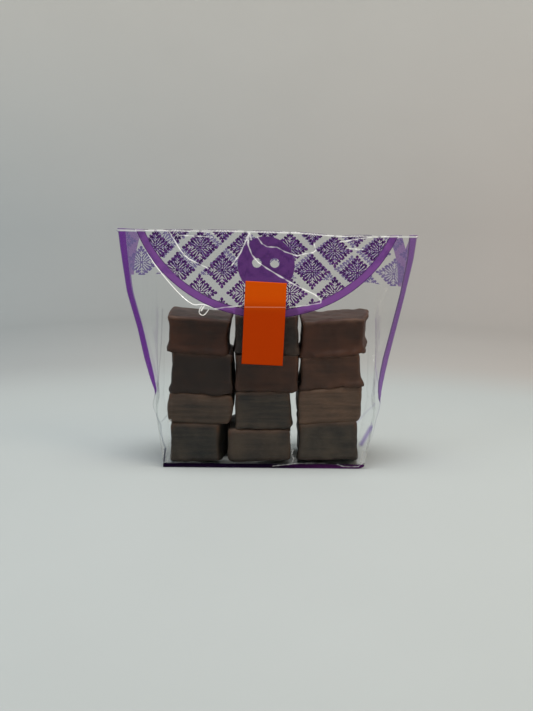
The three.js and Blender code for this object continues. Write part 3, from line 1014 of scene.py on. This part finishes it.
def makeChocolate():
    material, tree = newMaterial("dark_chocolate_coating")
    place = addNode(tree, "TexCoord", {}, out="Object")
    coat = addNode(tree, "Attribute", {"attribute_name": "coat"}, out="Vector")
    light, warm, drag = addNode(tree, "SeparateXYZ", {}, {0: coat}).node.outputs
    rim, top = (addNode(tree, "Attribute", {"attribute_name": key}, out="Fac") for key in ("rim", "top"))
    streakScale = [1000 / v for v in chocolate["streak"]]
    stretch = addNode(tree, "Mapping", {"Scale": streakScale}, {"Vector": place})
    streak = addNode(tree, "TexNoise", {"Scale": 1.0, "Detail": 2.0}, {"Vector": stretch})
    noises = []
    for size, detail in (chocolate["patch"], chocolate["grain"], chocolate["speck"]):
        fine = {"Scale": 1000 / size, "Detail": detail}
        noises.append(addNode(tree, "TexNoise", fine, {"Vector": place}))
    patch, grain, speck = noises
    span = chocolate["noiseSpan"]
    lines = addNode(tree, "MapRange", {(1, 2): span, (3, 4): chocolate["streakTone"]}, {0: streak})
    blend = addNode(tree, "Math", {"operation": "MULTIPLY_ADD"}, {0: lines, 1: drag, 2: light})
    patchy = {"operation": "MULTIPLY_ADD", 1: chocolate["patchTone"]}
    blend = addNode(tree, "Math", patchy, {0: patch, 2: blend})
    share = addNode(tree, "MapRange", {(1, 2): chocolate["toneSpan"]}, {0: blend})
    mix = {**colourMix, 6: toLinear(chocolate["dark"]), 7: toLinear(chocolate["light"])}
    tone = addNode(tree, "Mix", mix, {0: share}, 2)
    mix = {**colourMix, "blend_type": "MULTIPLY", 7: toLinear(chocolate["warmth"])}
    tone = addNode(tree, "Mix", mix, {0: warm, 6: tone}, 2)
    speck = addNode(tree, "MapRange", {(1, 2): span, (3, 4): chocolate["speckTone"]}, {0: speck})
    tone = addNode(tree, "Mix", colourTimes, {6: tone, 7: speck}, 2)
    # painted highlight, partly thin coat, along the top edges, and painted sheen on the tops
    for key, reach in (("edge", rim), ("paintedTopSheen", top)):
        thin = addNode(tree, "Math", times, {0: reach, 1: patch})
        tone = addNode(tree, "Mix", {**colourMix, 7: toLinear(chocolate[key])}, {0: thin, 6: tone}, 2)
    rough = addNode(tree, "MapRange", {(3, 4): chocolate["roughness"]}, {0: patch})
    ridged = {"operation": "MULTIPLY_ADD", 1: chocolate["streakRelief"]}
    relief = addNode(tree, "Math", ridged, {0: streak, 2: grain})
    bump = addNode(tree, "Bump", {("Strength", "Distance"): chocolate["bump"]}, {"Height": relief})
    links = {"Base Color": tone, "Roughness": rough, "Normal": bump}
    skin = addNode(tree, "BsdfPrincipled", chocolate["finish"], links)
    addNode(tree, "OutputMaterial", {}, {"Surface": skin})
    return material


# What all the slabs share, in millimetres: a plain size, the place of their front, and their coat.
slabs = {
    "size": (33.0, 33.0, 20.0),
    "spread": 1.02,
    "front": -20.2,
    "rest": 1.3,
    "round": 2.0,
    "voxel": 0.75,
    "melt": 4,
    # where the coat's rim and sides start and fade, from an edge, and how far its foot and lip reach
    "rim": (0.6, 0.9),
    "sides": (0.4, 0.8),
    "footReach": 2.6,
    "lipReach": 2.4,
    # size and height of the coat's lumps, of the runs in its foot, and of its ripples
    "lumps": (15.0, 2.0),
    "runs": (7.0, 4.6),
    "ripples": (4.5, 0.55),
    "lipHeight": 3.2,
    "runLevel": 0.25,
    # the thin red rim, partly painted highlight, shows near the top, and a pale painted sheen on the
    # tops, by share of the height
    "rimRise": (0.7, 0.9),
    "leastRim": 0.15,
    "topRise": (0.92, 0.97),
    "paintedTopSheenShare": 0.26,
}
# Twelve slabs in three columns. Each has the corners of its front face, across and up in millimetres,
# from bottom left round to top left, how far its back corners stand out left and right, how much its
# sides draw in, its foot and lip, and a coat of lightness, warmth and streaks.
slabStack = {
    "slab_left_1": {
        "corners": ((-52.1, 63.3), (-20.6, 61.5), (-19.1, 79.8), (-52.3, 82.4)), "backs": (0, 0),
        "drawIn": 0.8, "foot": 0.7, "lip": 0.4, "coat": (-0.02, 0.92, 0.12),
    },
    "slab_left_2": {
        "corners": ((-50.4, 40.6), (-17.8, 39.7), (-18.0, 61.7), (-50.0, 63.4)), "backs": (-1.4, 0),
        "drawIn": 0.3, "foot": 0.9, "lip": 0.0, "coat": (-0.2, 0.68, 0.18),
    },
    "slab_left_3": {
        "corners": ((-51.6, 24.3), (-20.2, 23.3), (-18.5, 39.7), (-51.2, 40.9)), "backs": (0, 0),
        "drawIn": -1.1, "foot": 0.0, "lip": 0.0, "coat": (0.25, 0.2, 0.32),
    },
    "slab_left_4": {
        "corners": ((-51.7, 2.4), (-25.2, 2.4), (-25.5, 23.4), (-51.0, 24.2)), "backs": (0, 5.6),
        "drawIn": 0.2, "foot": 0.3, "lip": 0.4, "coat": (0.04, 0.0, 0.12),
    },
    "slab_middle_1": {
        "corners": ((-17.0, 61.9), (16.8, 61.7), (16.6, 83.3), (-17.0, 82.9)), "backs": (0, 0),
        "drawIn": 0.4, "foot": 1.0, "lip": 0.0, "coat": (-0.08, 0.3, 0.1),
    },
    "slab_middle_2": {
        "corners": ((-16.8, 41.7), (16.4, 41.9), (16.9, 61.9), (-16.6, 62.1)), "backs": (0, 0),
        "drawIn": 0.3, "foot": 0.8, "lip": 0.0, "coat": (0.09, 0.76, 0.12),
    },
    "slab_middle_3": {
        "corners": ((-16.0, 20.5), (13.7, 21.7), (12.7, 41.9), (-16.6, 41.7)), "backs": (0, 0),
        "drawIn": 0.2, "foot": 0.6, "lip": 0.2, "coat": (0.04, 0.08, 0.25),
    },
    "slab_middle_4": {
        "corners": ((-20.2, 2.4), (13.2, 3.6), (13.0, 20.7), (-19.7, 20.7)), "backs": (0, 0),
        "drawIn": -0.4, "foot": 0.1, "lip": 0.3, "coat": (0.1, 0.08, 0.15),
    },
    "slab_right_1": {
        "corners": ((18.4, 60.2), (51.0, 62.6), (52.2, 81.7), (18.9, 79.5)), "backs": (0, 4),
        "drawIn": 0.7, "foot": 1.0, "lip": 1.0, "coat": (0.16, 0.86, 0.12),
    },
    "slab_right_2": {
        "corners": ((18.5, 42.4), (50.8, 45.7), (49.6, 62.7), (18.7, 60.5)), "backs": (0, 0),
        "drawIn": 0.6, "foot": 1.0, "lip": 0.0, "coat": (0.2, 0.68, 0.18),
    },
    "slab_right_3": {
        "corners": ((18.2, 23.9), (49.7, 26.1), (50.4, 45.9), (17.8, 42.5)), "backs": (0, 0),
        "drawIn": -0.5, "foot": 0.3, "lip": 0.2, "coat": (0.5, 0.28, 0.42),
    },
    "slab_right_4": {
        "corners": ((17.9, 4.2), (50.1, 4.6), (48.1, 26.3), (17.7, 24.3)), "backs": (0, 0),
        "drawIn": 0.2, "foot": 0.5, "lip": 0.0, "coat": (0.08, 0.0, 0.15),
    },
}


# one soft-edged slab at its plain size, the start of every other
def makeSlabStart():
    wide, deep, tall = (v * mm for v in slabs["size"])
    bpy.ops.object.select_all(action="DESELECT")
    bpy.ops.mesh.primitive_cube_add(size=1)
    start = bpy.context.object
    start.scale = (wide, deep, tall)
    bpy.ops.object.transform_apply(location=True, rotation=False, scale=True)
    bpy.ops.object.mode_set(mode="EDIT")
    bpy.ops.mesh.select_all(action="SELECT")
    bpy.ops.mesh.bevel(offset=slabs["round"] * mm, segments=4, affect="EDGES")
    bpy.ops.object.mode_set(mode="OBJECT")
    skin = start.modifiers.new("skin", "REMESH")
    skin.mode = "VOXEL"
    skin.voxel_size = slabs["voxel"] * mm
    melt = start.modifiers.new("melt", "SMOOTH")
    melt.factor = 0.5
    melt.iterations = slabs["melt"]
    applyModifiers(start)
    bpy.ops.object.shade_smooth()
    return start


def makeSlab(plain, name, textures, material):
    slab = slabStack[name]
    piece = bpy.data.objects.new(name, plain.data.copy())
    piece.data.name = name
    bpy.context.collection.objects.link(piece)
    bpy.ops.object.select_all(action="DESELECT")
    piece.select_set(True)
    bpy.context.view_layer.objects.active = piece

    # the plain slab is drawn out to the corners of its front face, and its back set wider
    size = np.array(slabs["size"])
    u, d, v = (readVertices(piece) / mm / size * slabs["spread"] + 0.5).T
    bottomLeft, bottomRight, topRight, topLeft = (np.array(corner) for corner in slab["corners"])
    low = bottomLeft + (bottomRight - bottomLeft) * u[:, None]
    if low[0, 1] < slabs["size"][2] / 2:  # the lowest slabs rest on the base behind a raised front edge
        low[:, 1] += (slabs["rest"] - low[:, 1]) * np.clip(3 * d, 0, 1)
    high = topLeft + (topRight - topLeft) * u[:, None]
    across, up = (low + (high - low) * v[:, None]).T
    across = across + d * (slab["backs"][0] * (1 - u) + slab["backs"][1] * u)
    waist = slab["drawIn"] * np.clip(4 * v * (1 - v), 0, 1)
    across = across - waist * (2 * u - 1) ** 3
    depth = slabs["front"] + d * size[1] - waist * (2 * d - 1) ** 3
    writeVertices(piece, toMetres(across, depth, up))

    # chocolate that ran down sets as an uneven foot, and some tops keep a lip
    inset = np.stack([np.minimum(share, 1 - share) * reach for share, reach in zip((u, d, v), size)])
    start, fade = slabs["rim"]
    rim = np.exp(-np.clip(np.sort(inset, axis=0)[1] - start, 0, None) / fade)
    start, fade = slabs["sides"]
    sideOn = np.exp(-np.clip(np.minimum(inset[0], inset[1]) - start, 0, None) / fade)
    fillGroup(piece, "foot", slab["foot"] * sideOn * np.exp(-(v * size[2] / slabs["footReach"]) ** 2))
    fillGroup(piece, "lip", slab["lip"] * sideOn * np.exp(-((1 - v) * size[2] / slabs["lipReach"]) ** 2))
    addDisplace(piece, "lumps", slabs["lumps"][1], "", textures["lumps"])
    addDisplace(piece, "foot", slabs["runs"][1], "foot", textures["runs"], slabs["runLevel"])
    addDisplace(piece, "lip", slabs["lipHeight"], "lip", textures["runs"], slabs["runLevel"])
    addDisplace(piece, "ripples", slabs["ripples"][1], "", textures["ripples"])
    applyModifiers(piece)
    piece.data.materials.append(material)
    addVectors(piece, "coat", [np.full(len(rim), share) for share in slab["coat"]])
    # the red rim, partly painted highlight, grows towards the top, and the painted sheen lies on the tops
    upper = np.maximum(np.interp(v, slabs["rimRise"], (0, 1)), slabs["leastRim"])
    paintedTopSheen = np.interp(v, slabs["topRise"], (0, slabs["paintedTopSheenShare"]))
    for key, share in (("rim", rim * upper), ("top", paintedTopSheen)):
        layer = piece.data.attributes.new(key, "FLOAT", "POINT")
        layer.data.foreach_set("value", share.astype(np.float32))
    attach(piece, "root")


def makeSlabs():
    start = makeSlabStart()
    material = makeChocolate()
    textures = {key: newClouds("coat_" + key, slabs[key][0]) for key in ("lumps", "runs", "ripples")}
    for name in slabStack:
        makeSlab(start, name, textures, material)
    print(len(slabStack), "slabs of", len(start.data.polygons), "faces")
    bpy.data.objects.remove(start)


makeSlabs()


# Stage: a paper cove all round, with painted light on it: paler in the middle, warmer to the right and
# lighter up the walls, with one large soft lamp overhead, two weak ones beside it and a dim room.
stage = {
    "floor": "#b2b9ba",
    # painted light: the walls are darker away from the middle, warmer to the right, and lighter higher up
    "walls": ("#a4abae", "#b1aca8"),
    "wallTop": "#d0d0cc",
    "paintedLightCentre": (0.0, -0.22, 0.0),
    "paintedLightReach": (0.38, 0.5),
    "wallRise": (0.08, 0.45),
    "floorRadius": 0.47,
    "sweep": 0.3,
    "wallHeight": 0.75,
    "reach": 1.1,
    "cells": 180,
    "paintedWarmLightReach": (-0.3, 0.3),
    "cloudScale": 9.0,  # clouds of about 110 mm
    "cloudTone": (0.96, 1.02),
    "roughness": 0.75,
}


def makeStage():
    piece, places = addGrid("studio_cove", stage["cells"], stage["cells"], 2 * stage["reach"])
    climb = np.clip(np.hypot(places[:, 0], places[:, 1]) - stage["floorRadius"], 0, None)
    places[:, 2] = np.minimum(climb ** 2 / stage["sweep"], stage["wallHeight"])
    writeVertices(piece, places)
    bpy.ops.object.shade_smooth()
    # matt paper, whose faint cloud shows as an uneven tone
    material, tree = newMaterial("matt_backdrop_paper")
    place = addNode(tree, "TexCoord", {}, out="Object")
    cloud = addNode(tree, "TexNoise", {"Scale": stage["cloudScale"], "Detail": 3.0}, {"Vector": place})
    tone = addNode(tree, "MapRange", {(3, 4): stage["cloudTone"]}, {0: cloud})
    # painted light: a pale pool on the floor in front, warm light to the right, and lighter walls higher
    # up
    away = distanceTo(tree, place, stage["paintedLightCentre"])
    fadeOut = {"interpolation_type": "SMOOTHSTEP", (1, 2): stage["paintedLightReach"]}
    share = addNode(tree, "MapRange", fadeOut, {0: away})
    across, _, height = addNode(tree, "SeparateXYZ", {}, {0: place}).node.outputs
    right = addNode(tree, "MapRange", {(1, 2): stage["paintedWarmLightReach"]}, {0: across})
    mix = {**colourMix, 6: toLinear(stage["walls"][0]), 7: toLinear(stage["walls"][1])}
    wall = addNode(tree, "Mix", mix, {0: right}, 2)
    paper = addNode(tree, "Mix", {**colourMix, 6: toLinear(stage["floor"])}, {0: share, 7: wall}, 2)
    share = addNode(tree, "MapRange", {(1, 2): stage["wallRise"]}, {0: height})
    paper = addNode(tree, "Mix", {**colourMix, 7: toLinear(stage["wallTop"])}, {0: share, 6: paper}, 2)
    shade = addNode(tree, "Mix", colourTimes, {6: paper, 7: tone}, 2)
    skin = addNode(tree, "BsdfPrincipled", {"Roughness": stage["roughness"]}, {"Base Color": shade})
    addNode(tree, "OutputMaterial", {}, {"Surface": skin})
    piece.data.materials.append(material)


makeStage()

# place, aim, size across and along, watts, colour
lamps = {
    "overhead_lamp": ((0.0, -0.08, 0.9), (0.0, 0.04, 0.05), (0.7, 0.4), 8.0, "#fffefb"),
    "left_lamp": ((-0.55, -0.3, 0.5), (0.0, 0.0, 0.08), (0.25, 0.35), 0.5, "#e2f0ff"),
    "right_lamp": ((0.55, -0.3, 0.5), (0.0, 0.0, 0.08), (0.25, 0.35), 1.3, "#ffe3c2"),
}
for name, (place, aim, size, watts, colour) in lamps.items():
    bpy.ops.object.light_add(type="AREA", location=place)
    lamp = bpy.context.object
    lamp.name = name
    lamp.data.shape = "RECTANGLE"
    lamp.data.size, lamp.data.size_y = size
    lamp.data.energy = watts
    lamp.data.color = toLinear(colour)[:3]
    lamp.rotation_euler = (Vector(aim) - Vector(place)).to_track_quat("-Z", "Y").to_euler()

room = {"colour": "#c9cccc", "strength": 0.17}
world = bpy.data.worlds.new("dim_room")
world.use_nodes = True
world.node_tree.nodes["Background"].inputs["Color"].default_value = toLinear(room["colour"])
world.node_tree.nodes["Background"].inputs["Strength"].default_value = room["strength"]
bpy.context.scene.world = world
bpy.context.scene.view_settings.view_transform = "Standard"
bpy.context.scene.cycles.transparent_max_bounces = 24  # light passes many layers of film

camera = {
    "distance": 516.0,
    "height": 168.0,
    "pitch": 11.6,
    "roll": 0.5,
    "focalPixels": 1000.0,
    "framePixels": 711,
    "sensor": 36.0,
}
bpy.ops.object.camera_add()
view = bpy.context.object
view.data.sensor_width = camera["sensor"]
view.data.lens = view.data.sensor_width * camera["focalPixels"] / camera["framePixels"]
place = (0.0, (stations[0, 3] - camera["distance"] + depthShift) * mm, camera["height"] * mm)
tilt = Matrix.Rotation(math.radians(90 - camera["pitch"]), 4, "X")
roll = Matrix.Rotation(math.radians(camera["roll"]), 4, "Z")
view.matrix_world = Matrix.Translation(place) @ tilt @ roll
bpy.context.scene.camera = view
print("stage, lamps and camera placed")
